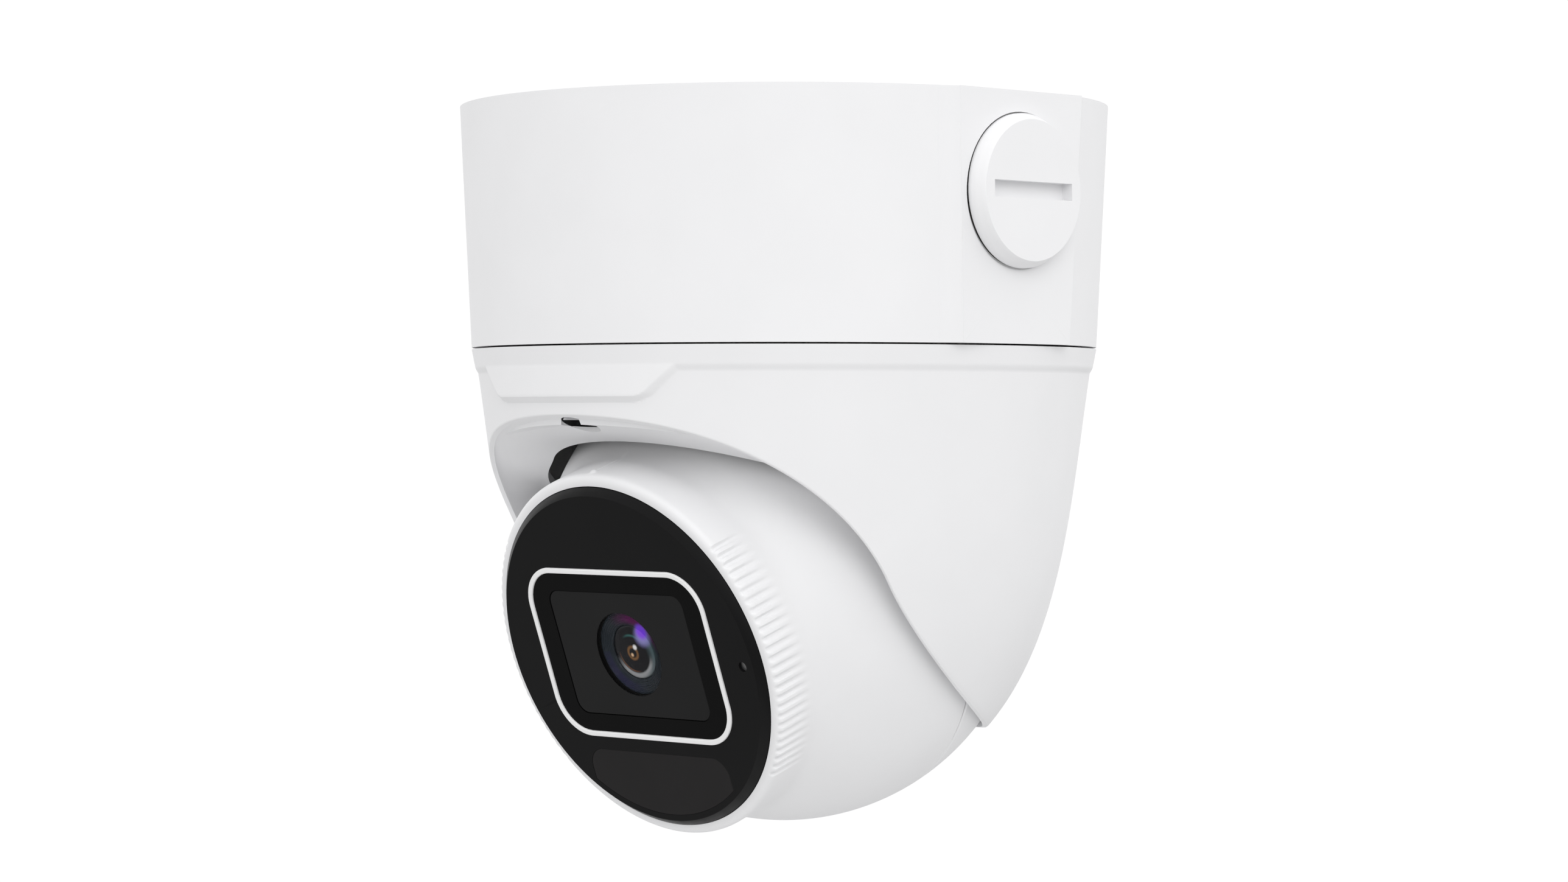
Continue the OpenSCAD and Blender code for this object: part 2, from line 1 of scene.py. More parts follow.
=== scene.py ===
# %% [markdown]
# # Looks of a dome security camera
# The imported part already has every piece at its real size and place. This lesson gives it
# its looks: smooth castings with soft edges, a grooved grip rim, a gloss black front, a coated
# lens with painted reflections, and one procedural finish for every piece. The frame loads
# first, because the ball's centre and directions and some sizes below are read from it.

# %% Load the frame
import json
import math

import bmesh
import bpy
import numpy as np
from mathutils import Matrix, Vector


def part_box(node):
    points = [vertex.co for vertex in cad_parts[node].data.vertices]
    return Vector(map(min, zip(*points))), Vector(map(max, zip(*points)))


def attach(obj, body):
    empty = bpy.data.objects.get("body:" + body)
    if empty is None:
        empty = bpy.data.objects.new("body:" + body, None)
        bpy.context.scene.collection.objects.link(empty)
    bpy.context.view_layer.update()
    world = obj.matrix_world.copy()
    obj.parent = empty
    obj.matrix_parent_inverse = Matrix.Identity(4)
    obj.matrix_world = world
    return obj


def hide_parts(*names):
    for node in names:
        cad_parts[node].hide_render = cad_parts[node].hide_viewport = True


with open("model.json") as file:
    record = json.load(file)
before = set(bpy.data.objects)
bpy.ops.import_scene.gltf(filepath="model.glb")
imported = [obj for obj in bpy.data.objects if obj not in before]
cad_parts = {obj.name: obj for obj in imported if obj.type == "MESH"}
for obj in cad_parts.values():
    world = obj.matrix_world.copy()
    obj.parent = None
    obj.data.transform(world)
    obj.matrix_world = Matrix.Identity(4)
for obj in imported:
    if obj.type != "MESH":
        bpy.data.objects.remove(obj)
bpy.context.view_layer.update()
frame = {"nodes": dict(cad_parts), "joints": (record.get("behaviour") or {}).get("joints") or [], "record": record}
nodes = frame["nodes"]
joints = {j["name"]: j for j in frame["joints"]}
print("CAD pieces:", len(nodes))

# %% [markdown]
# ## Directions of the ball
# The ball hangs on two joints: it tilts about a level axis and spins about its lens axis.
# Those joints give its centre and its three directions, so nothing here is typed twice.
# Lengths below are in millimetres, as on a drawing, and turn into metres at the last step.

# %% Ball directions
MM = 0.001
centre = np.array(joints["tilt"]["pos_m"]) / MM
lens = np.array(joints["rotate"]["axis"], float)
side = np.array([1.0, 0.0, 0.0])
up = np.cross(lens, side)


def in_ball(points):
    """Ball coordinates (right, up, forward) to the shared frame, in millimetres."""
    p = np.asarray(points, float)
    return centre + p[..., :1] * side + p[..., 1:2] * up + p[..., 2:3] * lens


print("ball centre", centre.round(2), "lens axis", lens.round(3))

# %% [markdown]
# ## Mesh helpers
# Most of this camera is turned or cast round. A mesh of rings does both: each ring is one
# row of points, neighbouring rings are joined by four-sided faces, and the last ring joins
# the first, so the solid is closed. A boolean with a cutter then makes holes and slots as
# a drill would.


# %% Mesh helpers
def mesh_piece(name, points, faces, sharp=35):
    mesh = bpy.data.meshes.new(name)
    mesh.from_pydata((np.asarray(points, float) * MM).tolist(), [], faces)
    mesh.polygons.foreach_set("use_smooth", [True] * len(mesh.polygons))
    mesh.set_sharp_from_angle(angle=math.radians(sharp))
    piece = bpy.data.objects.new(name, mesh)
    bpy.context.scene.collection.objects.link(piece)
    return piece


def ring_solid(name, rings, closed=True, flip=False, sharp=35):
    """Rings of shape (rows, columns, 3). Closed joins the last ring to the first; an open
    stack of rings gets a flat cap at each end."""
    rows, cols = rings.shape[:2]
    k = np.arange(rows * cols).reshape(rows, cols)
    if closed:
        k = np.vstack([k, k[:1]])
    a, b = k[:-1], k[1:]
    quads = np.stack([a, np.roll(a, -1, 1), np.roll(b, -1, 1), b], -1).reshape(-1, 4)
    faces = quads[:, ::-1].tolist() if flip else quads.tolist()
    if not closed:
        ends = [k[0][::-1].tolist(), k[-1].tolist()]
        faces += [e[::-1] for e in ends] if flip else ends
    return mesh_piece(name, rings.reshape(-1, 3), faces, sharp)


def lathe(profile, columns=96):
    """Rings about +Z from (radius, height) points."""
    a = np.linspace(0, 2 * np.pi, columns, endpoint=False)
    p = np.asarray(profile, float)
    return np.stack([p[:, :1] * np.cos(a), p[:, :1] * np.sin(a), np.repeat(p[:, 1:], columns, 1)], -1)


def carve(piece, cutters, operation="DIFFERENCE", sharp=35):
    """Cuts the cutters out of the piece, or joins them to it, and keeps the result."""
    for cutter in cutters:
        step = piece.modifiers.new("cut", "BOOLEAN")
        step.operation, step.object, step.solver = operation, cutter, "MANIFOLD"
    bpy.context.view_layer.update()
    shape = piece.evaluated_get(bpy.context.evaluated_depsgraph_get())
    mesh = bpy.data.meshes.new_from_object(shape)
    piece.modifiers.clear()
    piece.data = mesh
    mesh.polygons.foreach_set("use_smooth", [True] * len(mesh.polygons))
    mesh.set_sharp_from_angle(angle=math.radians(sharp))
    for cutter in cutters:
        bpy.data.objects.remove(cutter)
    return piece


def smooth_step(low, high, x):
    t = np.clip((x - low) / (high - low), 0, 1)
    return t * t * (3 - 2 * t)


def curve(points, steps):
    """A Bezier curve through its two end points, drawn with the given number of steps."""
    t = np.linspace(0, 1, steps + 1)[:, None]
    p = [np.asarray(q, float) for q in points]
    while len(p) > 1:
        p = [p[i] * (1 - t) + p[i + 1] * t for i in range(len(p) - 1)]
    return p[0]


def report(piece):
    low, high = np.array(piece.bound_box)[[0, 6]]
    print(piece.name, "size in mm", ((high - low) / MM).round(1), "faces", len(piece.data.polygons))
    return piece


# %% [markdown]
# ## The camera
# A product shot of a small object is taken with a long lens from about arm's length, level
# with the middle of the object, so upright edges stay upright. The viewer stands about 45
# degrees round from the direction in which the object looks. These lengths are in metres.

# %% The camera
shot_distance, shot_height = 0.80082, -0.06297
shot_side, shot_down = math.radians(45.11), math.radians(0.234)
sensor_width, focal_length = 36, 92.05
camera = bpy.data.objects.new("shot_camera", bpy.data.cameras.new("shot_camera"))
bpy.context.scene.collection.objects.link(camera)
camera.location = (shot_distance * math.sin(shot_side), -shot_distance * math.cos(shot_side), shot_height)
camera.rotation_euler = (math.pi / 2 - shot_down, 0, shot_side)
camera.data.sensor_width, camera.data.lens = sensor_width, focal_length
camera.data.clip_start, camera.data.clip_end = 0.01, 50
bpy.context.scene.camera = camera
print("camera stands at", [round(c, 3) for c in camera.location])

# %% [markdown]
# ## Studio
# White powder coat shows its form only through soft shadows, so the room itself is the main
# light: white walls and ceiling, dimmer towards the floor, so that undersides fall off. One
# large panel above to the right adds a gentle direction. The pale floor is far below.


# %% Studio
part_middle = Vector((0, 0, -0.09))
room_strength = 1.12
# (height from straight down, 0, to straight up, 1; brightness there)
room_greys = ((0.40, 0.42), (0.43, 0.92), (0.57, 0.92), (0.65, 1.0))


def softbox(name, place, size, watts):
    light = bpy.data.objects.new(name, bpy.data.lights.new(name, "AREA"))
    light.data.shape, light.data.size, light.data.energy = "DISK", size, watts
    light.location = place
    light.rotation_euler = (part_middle - light.location).to_track_quat("-Z", "Y").to_euler()
    bpy.context.scene.collection.objects.link(light)
    return light


key = softbox("key_panel", (1.1, -0.7, 0.6), 0.8, 4)
room = bpy.data.worlds.new("white_room")
bpy.context.scene.world = room
room.use_nodes = True
sky = room.node_tree
height = sky.nodes.new("ShaderNodeSeparateXYZ")
sky.links.new(sky.nodes.new("ShaderNodeTexCoord").outputs["Generated"], height.inputs["Vector"])
half_height = sky.nodes.new("ShaderNodeMapRange")
half_height.inputs["From Min"].default_value = -1
sky.links.new(height.outputs["Z"], half_height.inputs["Value"])
walls = sky.nodes.new("ShaderNodeValToRGB")
sky.links.new(half_height.outputs["Result"], walls.inputs["Fac"])
for place, grey in room_greys:
    stop = walls.color_ramp.elements.new(place)
    stop.color = (grey, grey, grey, 1)
walls.color_ramp.elements.remove(walls.color_ramp.elements[-1])
walls.color_ramp.elements.remove(walls.color_ramp.elements[0])
sky.links.new(walls.outputs["Color"], sky.nodes["Background"].inputs["Color"])
sky.nodes["Background"].inputs["Strength"].default_value = room_strength
bpy.context.scene.view_settings.view_transform = "Standard"

floor_low, floor_half = -1400, 1000
corners = [(x * floor_half, y * floor_half, floor_low) for x, y in ((-1, -1), (1, -1), (1, 1), (-1, 1))]
floor = mesh_piece("studio_floor", corners, [(0, 1, 2, 3)])
print("light:", key.name, "in", room.name)

# %% [markdown]
# ## Finishes
# Every finish is one Principled shader fed by object-space noise, so it needs no unwrapping.
# A little cloudiness in the colour, a little in the roughness and a fine bump are what keep
# a surface from looking like flat paint. A recipe gives the noise in grains per metre and
# the depth of the bump in metres.


# %% A finish recipe
def finish(name, colour, rough, metal=0.0, gloss=0.5, cloud=0.03, cloud_scale=60, grain=2500,
           grain_depth=4e-6, coat=0.0, stretch=(1, 1, 1), glass=0.0, index=1.5):
    m = bpy.data.materials.new(name)
    m.use_nodes = True
    nt = m.node_tree
    shader = nt.nodes["Principled BSDF"]
    shader.inputs["Metallic"].default_value = metal
    shader.inputs["Specular IOR Level"].default_value = gloss
    shader.inputs["Coat Weight"].default_value = coat
    shader.inputs["Transmission Weight"].default_value = glass
    shader.inputs["IOR"].default_value = index
    place = nt.nodes.new("ShaderNodeTexCoord")
    scale = nt.nodes.new("ShaderNodeMapping")
    scale.inputs["Scale"].default_value = stretch
    nt.links.new(place.outputs["Object"], scale.inputs["Vector"])
    soft = nt.nodes.new("ShaderNodeTexNoise")
    soft.inputs["Scale"].default_value = cloud_scale
    soft.inputs["Detail"].default_value = 4
    fine = nt.nodes.new("ShaderNodeTexNoise")
    fine.inputs["Scale"].default_value = grain
    fine.inputs["Detail"].default_value = 3
    for noise in (soft, fine):
        nt.links.new(scale.outputs["Vector"], noise.inputs["Vector"])
    ramp = nt.nodes.new("ShaderNodeValToRGB")
    dark = [c * (1 - cloud) for c in colour]
    light = [min(1, c * (1 + cloud)) for c in colour]
    ramp.color_ramp.elements[0].position, ramp.color_ramp.elements[1].position = 0.35, 0.65
    ramp.color_ramp.elements[0].color = (*dark, 1)
    ramp.color_ramp.elements[1].color = (*light, 1)
    nt.links.new(soft.outputs["Fac"], ramp.inputs["Fac"])
    nt.links.new(ramp.outputs["Color"], shader.inputs["Base Color"])
    spread = nt.nodes.new("ShaderNodeMapRange")
    spread.inputs["To Min"].default_value = rough * 0.9
    spread.inputs["To Max"].default_value = min(1, rough * 1.1)
    nt.links.new(fine.outputs["Fac"], spread.inputs["Value"])
    nt.links.new(spread.outputs["Result"], shader.inputs["Roughness"])
    bump = nt.nodes.new("ShaderNodeBump")
    bump.inputs["Distance"].default_value = grain_depth
    nt.links.new(fine.outputs["Fac"], bump.inputs["Height"])
    nt.links.new(bump.outputs["Normal"], shader.inputs["Normal"])
    return m


white = (0.85, 0.85, 0.86)
FINISHES = {
    "white_coat": dict(colour=white, rough=0.5, gloss=0.35, cloud=0.008, grain=3000, grain_depth=6e-6),
    "plug_coat": dict(colour=white, rough=0.5, gloss=0.35, cloud=0.008, grain=3000, grain_depth=6e-6),
    "seal_rubber": dict(colour=(0.02, 0.02, 0.02), rough=0.8, gloss=0.3, grain=1500, grain_depth=2e-5),
    "brass_plate": dict(colour=(0.7, 0.52, 0.22), rough=0.32, metal=1, grain=900, stretch=(1, 1, 0.1)),
    "raw_casting": dict(colour=(0.5, 0.5, 0.51), rough=0.5, metal=1, cloud=0.08, grain=1200, grain_depth=2e-5),
    "screw_steel": dict(colour=(0.55, 0.55, 0.57), rough=0.3, metal=1, cloud=0.05, grain=1500),
    "slip_plastic": dict(colour=(0.8, 0.79, 0.74), rough=0.35, cloud=0.02, grain=1500),
    "black_plastic": dict(colour=(0.012, 0.012, 0.013), rough=0.6, gloss=0.3, grain=2200, grain_depth=1.5e-5),
    "spring_steel": dict(colour=(0.3, 0.31, 0.33), rough=0.28, metal=1, cloud=0.06, grain=1500),
    "panel_black": dict(colour=(0.0075, 0.0075, 0.0077), rough=0.32, gloss=0.08, cloud=0.04, grain=1800,
                        grain_depth=1e-6),
    "trim_white": dict(colour=(0.88, 0.88, 0.88), rough=0.3, cloud=0.01, grain=2000, grain_depth=2e-6),
    "window_glass": dict(colour=(0.9, 0.9, 0.9), rough=0.02, gloss=0.4, glass=1.0, index=1.05,
                         grain_depth=0, cloud=0.01),
    "ir_plastic": dict(colour=(0.0155, 0.0145, 0.0148), rough=0.2, gloss=0.12, cloud=0.06, grain=1500,
                       grain_depth=1e-6),
    "mesh_steel": dict(colour=(0.25, 0.25, 0.25), rough=0.4, metal=1, grain=6000, grain_depth=4e-5),
    "can_metal": dict(colour=(0.6, 0.6, 0.61), rough=0.25, metal=1, cloud=0.04, grain=1000),
    "foam_black": dict(colour=(0.013, 0.013, 0.014), rough=0.9, gloss=0.1, grain=2600, grain_depth=5e-5),
    "barrel_black": dict(colour=(0.012, 0.013, 0.016), rough=0.35, gloss=0.4, grain=2000),
    "lens_glass": dict(colour=(0.6, 0.55, 0.8), rough=0.02, gloss=0.6, glass=0.9, grain_depth=0),
    "filter_glass": dict(colour=(0.3, 0.6, 0.55), rough=0.05, glass=0.8, grain_depth=0),
    "coil_copper": dict(colour=(0.55, 0.24, 0.08), rough=0.35, metal=0.8, grain=5000, grain_depth=3e-5,
                        stretch=(0.2, 0.2, 1)),
    "sensor_ceramic": dict(colour=(0.06, 0.05, 0.08), rough=0.2, coat=0.6),
    "board_green": dict(colour=(0.01, 0.09, 0.035), rough=0.35, coat=0.3, cloud=0.15, cloud_scale=400),
    "chip_black": dict(colour=(0.015, 0.015, 0.015), rough=0.55, grain=3000, grain_depth=1e-5),
    "pad_grey": dict(colour=(0.42, 0.47, 0.55), rough=0.85, grain=1200, grain_depth=2e-5),
    "raw_aluminium": dict(colour=(0.68, 0.68, 0.7), rough=0.3, metal=1, grain=900, stretch=(0.05, 1, 1)),
    "socket_white": dict(colour=(0.8, 0.77, 0.68), rough=0.45),
    "board_white": dict(colour=(0.76, 0.76, 0.73), rough=0.4, coat=0.2),
    "led_clear": dict(colour=(0.2, 0.2, 0.24), rough=0.1, coat=0.5),
    "led_yellow": dict(colour=(0.75, 0.62, 0.12), rough=0.4, coat=0.4),
    "cup_chrome": dict(colour=(0.85, 0.85, 0.87), rough=0.08, metal=1, cloud=0.02),
}

# %% Give every CAD piece its finish
slot_of = {s["node"]: s["material_slot"] for s in frame["record"]["subparts"]}
paint = {slot: finish(slot, **recipe) for slot, recipe in FINISHES.items()}


def dress(piece, slot):
    piece.data.materials.clear()
    piece.data.materials.append(paint[slot])


for node_name, node in nodes.items():
    dress(node, slot_of[node_name])
floor_paper = finish("floor_paper", (0.93, 0.93, 0.93), 0.9, cloud=0.01, cloud_scale=3, grain=200)
floor.data.materials.append(floor_paper)
print("finishes:", len(paint))


def stand_in(piece, node_name, body):
    """The new mesh takes over from the CAD node and rides on its body."""
    slot = slot_of[node_name]
    dress(piece, slot)
    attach(piece, body)
    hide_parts(node_name)
    return report(piece)


# %% [markdown]
# ## The ball's front half
# The real part is a die casting: a sphere that runs into a short drum, with a rolled lip
# round the black front and 26 grip grooves on either side that fade out towards the sphere.
# It could be a sphere with booleans, but fine grooves with soft edges are cleaner as a
# radius that varies with the angle: one closed ring mesh with the grooves pressed into it.

# %% Ball front
ball_r = abs(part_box("ball_rear")[0].x) / MM
drum_r, drum_front, lip_r, lip_front = 37.3, 41.45, 35.2, 43.05
blend_from, blend_to = 28.5, 34.2
panel_seat_r, seal_r, seal_seat, inner_step = 35.15, 33.2, 40.4, 30
wall, seam_gap, seam_chamfer = 2.3, 0.2, 0.25
outer_steps, inner_steps, row_step = 44, 14, 0.4
groove_count, groove_reach, groove_half, groove_depth = 26, 38.0, 0.5, 0.62
groove_from, groove_full = 33.4, 41.0
sight_depth, sight_from, sight_to = 0.3, 31, 40.6
bead_height, bead_place = 0.45, 40.9
columns = 1080


def on_sphere(t, radius):
    return math.sqrt(max(radius**2 - t * t, 0))


def sphere_run(t0, t1, radius, steps):
    return [(on_sphere(t, radius), t) for t in np.linspace(t0, t1, steps)]


# %% Profile of the front half
slope = -blend_from / on_sphere(blend_from, ball_r)
corner_t = blend_from + (drum_r - on_sphere(blend_from, ball_r)) / slope
run = [(on_sphere(seam_gap + seam_chamfer, ball_r) - seam_chamfer, seam_gap)]
run += sphere_run(seam_gap + 0.3, blend_from - 0.6, ball_r, outer_steps)
blend = [(on_sphere(blend_from, ball_r), blend_from), (drum_r, corner_t), (drum_r, blend_to)]
run += curve(blend, 10).tolist()
run += [(drum_r, t) for t in np.arange(blend_to + row_step, drum_front, row_step)]
lip = [(drum_r, drum_front), (drum_r, 42.7), (36.7, lip_front), (lip_r, lip_front + 0.02)]
run += curve(lip, 9).tolist()
seat = [(panel_seat_r, lip_front - 0.2), (panel_seat_r, seal_seat), (seal_r, seal_seat), (seal_r, inner_step)]
run += seat + sphere_run(inner_step, seam_gap, ball_r - wall, inner_steps)

# %% Grooves, sight line and bead
rings = lathe(run, columns)
angle = np.degrees(np.arctan2(rings[..., 1], rings[..., 0]))
hand = np.sign(angle)
mirrored = np.minimum(np.abs(angle), 180 - np.abs(angle))
pitch = 2 * groove_reach / (groove_count - 1)
nearest = np.clip(np.round((mirrored * hand - groove_reach) / pitch), -groove_count + 1, 0)
off = np.radians(mirrored * hand - (groove_reach + nearest * pitch)) * drum_r
from_top = np.radians(angle - 90) * drum_r
row_r = np.array(run)[:, :1]
row_t = np.array(run)[:, 1:]
row = np.arange(len(run))[:, None]
is_drum = (row > outer_steps) & (row < len(run) - inner_steps - len(seat))
depth = groove_depth * smooth_step(groove_from, groove_full, row_t)
depth = depth * (1 - smooth_step(drum_front + 0.7, lip_front, row_t))
press = depth * (1 - smooth_step(groove_half - 0.28, groove_half + 0.22, np.abs(off)))
sight = sight_depth * (1 - smooth_step(0.12, 0.4, np.abs(from_top)))
sight = sight * smooth_step(sight_from, sight_from + 1.5, row_t)
sight = sight * (1 - smooth_step(sight_to - 0.6, sight_to, row_t))
bead = bead_height * (1 - smooth_step(0.35, 0.95, np.hypot(from_top, row_t - bead_place)))
shrink = (1 - is_drum * (press + sight - bead) / row_r)[..., None]
rings = np.concatenate([rings[..., :2] * shrink, rings[..., 2:]], -1)
ball_front = ring_solid("ball_front_shell", in_ball(rings), sharp=40)
stand_in(ball_front, "ball_front", "ball")

# %% [markdown]
# ## The ball's back half
# The back half is the rest of the sphere with the hollow tail. Its rim is broken by a
# hairline chamfer, which is what makes the joint between the halves read as a dark line.

# %% Ball back
tail_r, tail_hole, tail_end = 5.0, 3.15, -53.4
run = [(on_sphere(seam_chamfer, ball_r) - seam_chamfer, -seam_gap)]
run += sphere_run(-seam_gap - 0.3, -on_sphere(tail_r, ball_r), ball_r, 60)
run += [(tail_r, tail_end), (tail_hole, tail_end), (tail_hole, -on_sphere(tail_hole, ball_r - wall))]
run += sphere_run(-on_sphere(tail_hole + 1, ball_r - wall), -seam_gap, ball_r - wall, 16)
ball_back = ring_solid("ball_back_shell", in_ball(lathe(run, 240)), flip=True, sharp=40)
stand_in(ball_back, "ball_rear", "ball")

# %% [markdown]
# ## The bell-shaped shell
# The shell is the part that everybody sees: a bell with a slanted mouth, a bevelled band
# that swells into a blank name tab at the front, and a dished recess around the ball. Each
# column of the mesh walks down the outside to the edge of the mouth, over a small chamfer,
# up the dish to the hole around the ball, and back up the inside. The mouth's edge is where
# the bell meets one S-shaped curve in side view, found column by column by halving.

# %% Shell outline
shell_top, band_low, bell_top, shell_end = -48.05, -51.7, -53, -124.5
band_r_top, band_r_low, draught = 62.2, 61.5, 0.05
belly = [(60.85, bell_top), (57.07, -79.06), (55.35, -107.3), (39.3, shell_end)]
mouth_front, mouth_top = 59.9, -61.1
mouth = [[(mouth_front, mouth_top), (47.36, -65.66), (31.13, -77.69), (21.71, -92.89)],
         [(21.71, -92.89), (14.86, -103.93), (-8.45, -126.48), (-44, -124)]]
belly_line = curve(belly, 160)[::-1]
mouth_line = np.vstack([curve(m, 60) for m in mouth])[::-1]
shell_wall, recess_slope = 2.4, math.tan(math.radians(20))


def bell_r(z):
    lower = np.interp(z, belly_line[:, 1], belly_line[:, 0])
    return np.where(z > bell_top, belly[0][0] + (z - bell_top) * draught, lower)


def band_r(z):
    return np.where(z > band_low, band_r_top + (z - shell_top) * 0.2, band_r_low + (z - band_low) * 0.03)


def recess_z(forward):
    """Height of the recess floor, which falls away from the front lip towards the ball."""
    return mouth_top - (mouth_front - forward) * recess_slope


def mouth_z(angle):
    """Height at which a column of the bell meets the mouth's side-view curve."""
    low, high = np.full_like(angle, shell_end), np.full_like(angle, -58.0)
    for _ in range(40):
        mid = (low + high) / 2
        edge = np.interp(bell_r(mid) * np.cos(angle), mouth_line[:, 0], mouth_line[:, 1])
        above = mid > edge
        high, low = np.where(above, mid, high), np.where(above, low, mid)
    return (low + high) / 2


# %% Band and name tab
tab_half, tab_low, tab_lean, bevel, corner_r, tab_r = 20.4, -57.6, 1.2, 1.15, 0.8, 61


def raised(angle, z):
    """1 on the band and the name tab, 0 on the bell, with a bevel between."""
    across = np.abs(np.where(angle > np.pi, angle - 2 * np.pi, angle)) * tab_r
    flank = (across - tab_half - (z - tab_low) * tab_lean) / math.hypot(1, tab_lean)
    foot = tab_low - z
    corner = np.hypot(np.maximum(flank + corner_r, 0), np.maximum(foot + corner_r, 0)) - corner_r
    tab = np.where((flank > -corner_r) & (foot > -corner_r), corner, np.maximum(flank, foot))
    return np.clip(1 - np.minimum(tab, band_low - z) / bevel, 0, 1)


near = np.radians(np.arange(-32, 32, 0.25))
far = np.radians(np.arange(32, 328, 0.8))
angle = np.concatenate([near, far]) % (2 * np.pi)
tab_rows_end, tab_row = -60.6, 0.3
heights = np.concatenate([[shell_top], np.arange(shell_top - tab_row, tab_rows_end, -tab_row)])
rows = [(bell_r(z) + raised(angle, z) * (band_r(z) - bell_r(z)), z) for z in heights]

# %% Down to the mouth and over its rim
edge_z = mouth_z(angle)
edge_r = bell_r(edge_z)
folded = np.minimum(angle, 2 * np.pi - angle)
flat = 1 - smooth_step(math.radians(25), math.radians(80), folded)
edge_round, rim_width, rim_fall, rim_rise = 0.25, 1.0, 0.35, 0.1
for s in np.linspace(0.02, 1, 70):
    z = tab_rows_end + (edge_z + edge_round - tab_rows_end) * s
    rows.append((bell_r(z), z))
rows.append((edge_r - 0.12, edge_z + 0.02))
rows.append((edge_r - rim_width, edge_z - rim_fall * flat + rim_rise * (1 - flat)))

# %% Dish of the recess
hole_front_r = 46
wall_z = recess_z((edge_r - shell_wall) * np.cos(angle))
foot = np.stack([edge_r - rim_width - 0.05, edge_z - rim_fall * flat + 0.15], -1)
turn_r = bell_r(wall_z) - shell_wall
hole_r = hole_front_r + (turn_r - hole_front_r) * smooth_step(math.radians(38), math.radians(92), folded)
hole_z = recess_z(hole_r * np.cos(angle))
turn = np.stack([turn_r, wall_z], -1)
hole = np.stack([hole_r, hole_z], -1)
for s in np.linspace(0, 1, 26):
    p = foot * (1 - s) ** 2 + turn * 2 * s * (1 - s) + hole * s * s
    rows.append((p[:, 0], p[:, 1]))

# %% Back up the inside
plate, inner_top, inner_limit_r, socket_r, socket_low = 2.4, -55.6, 59.6, 59.8, -52.6
inner_z = np.minimum(hole_z + plate + 0.8, inner_top)
rows.append((hole_r + 0.15, hole_z + 0.5))
rows.append((hole_r + 0.2, hole_z + plate))
rows.append((np.minimum(bell_r(inner_z) - shell_wall, inner_limit_r), inner_z))
rows += [(socket_r, socket_low), (socket_r, shell_top)]
rings = np.stack([np.stack([r * np.sin(angle), -r * np.cos(angle), z + 0 * angle], -1) for r, z in rows])
shell = ring_solid("bell_shell", rings, sharp=32)

# %% [markdown]
# The lock screw sits in a round well in the recess. A drill shape, wide below and narrow
# above, is cut out of the closed mesh.

# %% Lock screw well
lock = np.array(joints["lock_turn"]["pos_m"]) / MM
head_r, shank_r, on_axis = 3.75, 2.3, 0.001
drill_low, head_top, drill_high = -70, -59.6, -50
well = [(on_axis, drill_low), (head_r, drill_low), (head_r, head_top), (shank_r, head_top),
        (shank_r, drill_high), (on_axis, drill_high)]
drill = ring_solid("drill", lathe(well, 64) + np.array([lock[0], lock[1], 0]), closed=False)
carve(shell, [drill], sharp=32)
stand_in(shell, "shell", "turret")

# %% [markdown]
# ## Junction box
# The box is a plain draughted drum with a flat for the conduit entry. The CAD solid has the
# right planes; what the casting adds is a soft fillet on each side of the flat. The CAD
# mesh is copied, welded, and a slim curved strip is joined on at each side.

# %% Junction box
box_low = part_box("junction_box")[0].z / MM
box_top_r, box_low_r = 64.5, 62.2
boss_x, boss_lean = 63.58, math.tan(math.radians(1.417))
boss_half, boss_low_half = 17.2, 15.0
strip_reach, strip_bite, strip_back, overshoot = 3.4, 0.04, 1.2, 0.02


def drum_wall(z):
    return box_top_r - (box_top_r - box_low_r) * z / box_low


def fillet_strip(name, hand):
    """Closed strip from just inside the flat's corner out to the round wall."""
    rings = []
    u = np.linspace(0, 1, 10)
    for z in np.linspace(-overshoot, box_low + overshoot, 14):
        half = boss_half - (boss_half - boss_low_half) * z / box_low
        y = half - strip_bite + u * strip_reach
        round_x = np.sqrt(drum_wall(z) ** 2 - y**2)
        step = boss_x + z * boss_lean - math.sqrt(drum_wall(z) ** 2 - half**2)
        x = round_x + (step - overshoot) * (1 - u) ** 2.2
        front = np.stack([x, y * hand], -1)
        back = np.stack([round_x - strip_back, y * hand], -1)[::-1]
        ring = np.concatenate([front, back])
        rings.append(np.concatenate([ring, np.full((len(ring), 1), z)], -1))
    return ring_solid(name, np.array(rings), closed=False, flip=hand < 0, sharp=60)


def weld(piece, distance=1e-5):
    b = bmesh.new()
    b.from_mesh(piece.data)
    bmesh.ops.remove_doubles(b, verts=b.verts, dist=distance)
    b.to_mesh(piece.data)
    b.free()


box_casting = bpy.data.objects.new("box_casting", nodes["junction_box"].data.copy())
bpy.context.scene.collection.objects.link(box_casting)
weld(box_casting)
carve(box_casting, [fillet_strip("strip_left", 1), fillet_strip("strip_right", -1)], "UNION", sharp=25)
stand_in(box_casting, "junction_box", "box")
box_casting.modifiers.new("even_shading", "WEIGHTED_NORMAL").keep_sharp = True

# %% [markdown]
# ## Shader maths
# The coated lens and its window are painted from the place of each point on the front: how
# far it is from the lens axis, and at what angle. A few small helpers keep that readable.


# %% Shader maths
def calc(nt, operation, *values):
    node = nt.nodes.new("ShaderNodeMath")
    node.operation = operation
    for socket, value in zip(node.inputs, values):
        if isinstance(value, (int, float)):
            socket.default_value = value
        else:
            nt.links.new(value, socket)
    return node.outputs[0]


def fade(nt, value, low, high):
    """0 at low, 1 at high, smooth between. Low may be the larger number."""
    node = nt.nodes.new("ShaderNodeMapRange")
    node.interpolation_type = "SMOOTHSTEP"
    if low > high:
        node.inputs["To Min"].default_value, node.inputs["To Max"].default_value = 1, 0
    node.inputs["From Min"].default_value = min(low, high)
    node.inputs["From Max"].default_value = max(low, high)
    nt.links.new(value, node.inputs["Value"])
    return node.outputs["Result"]


def band(nt, value, low, high, soft):
    rise = fade(nt, value, low - soft, low + soft)
    fall = fade(nt, value, high + soft, high - soft)
    return calc(nt, "MULTIPLY", rise, fall)


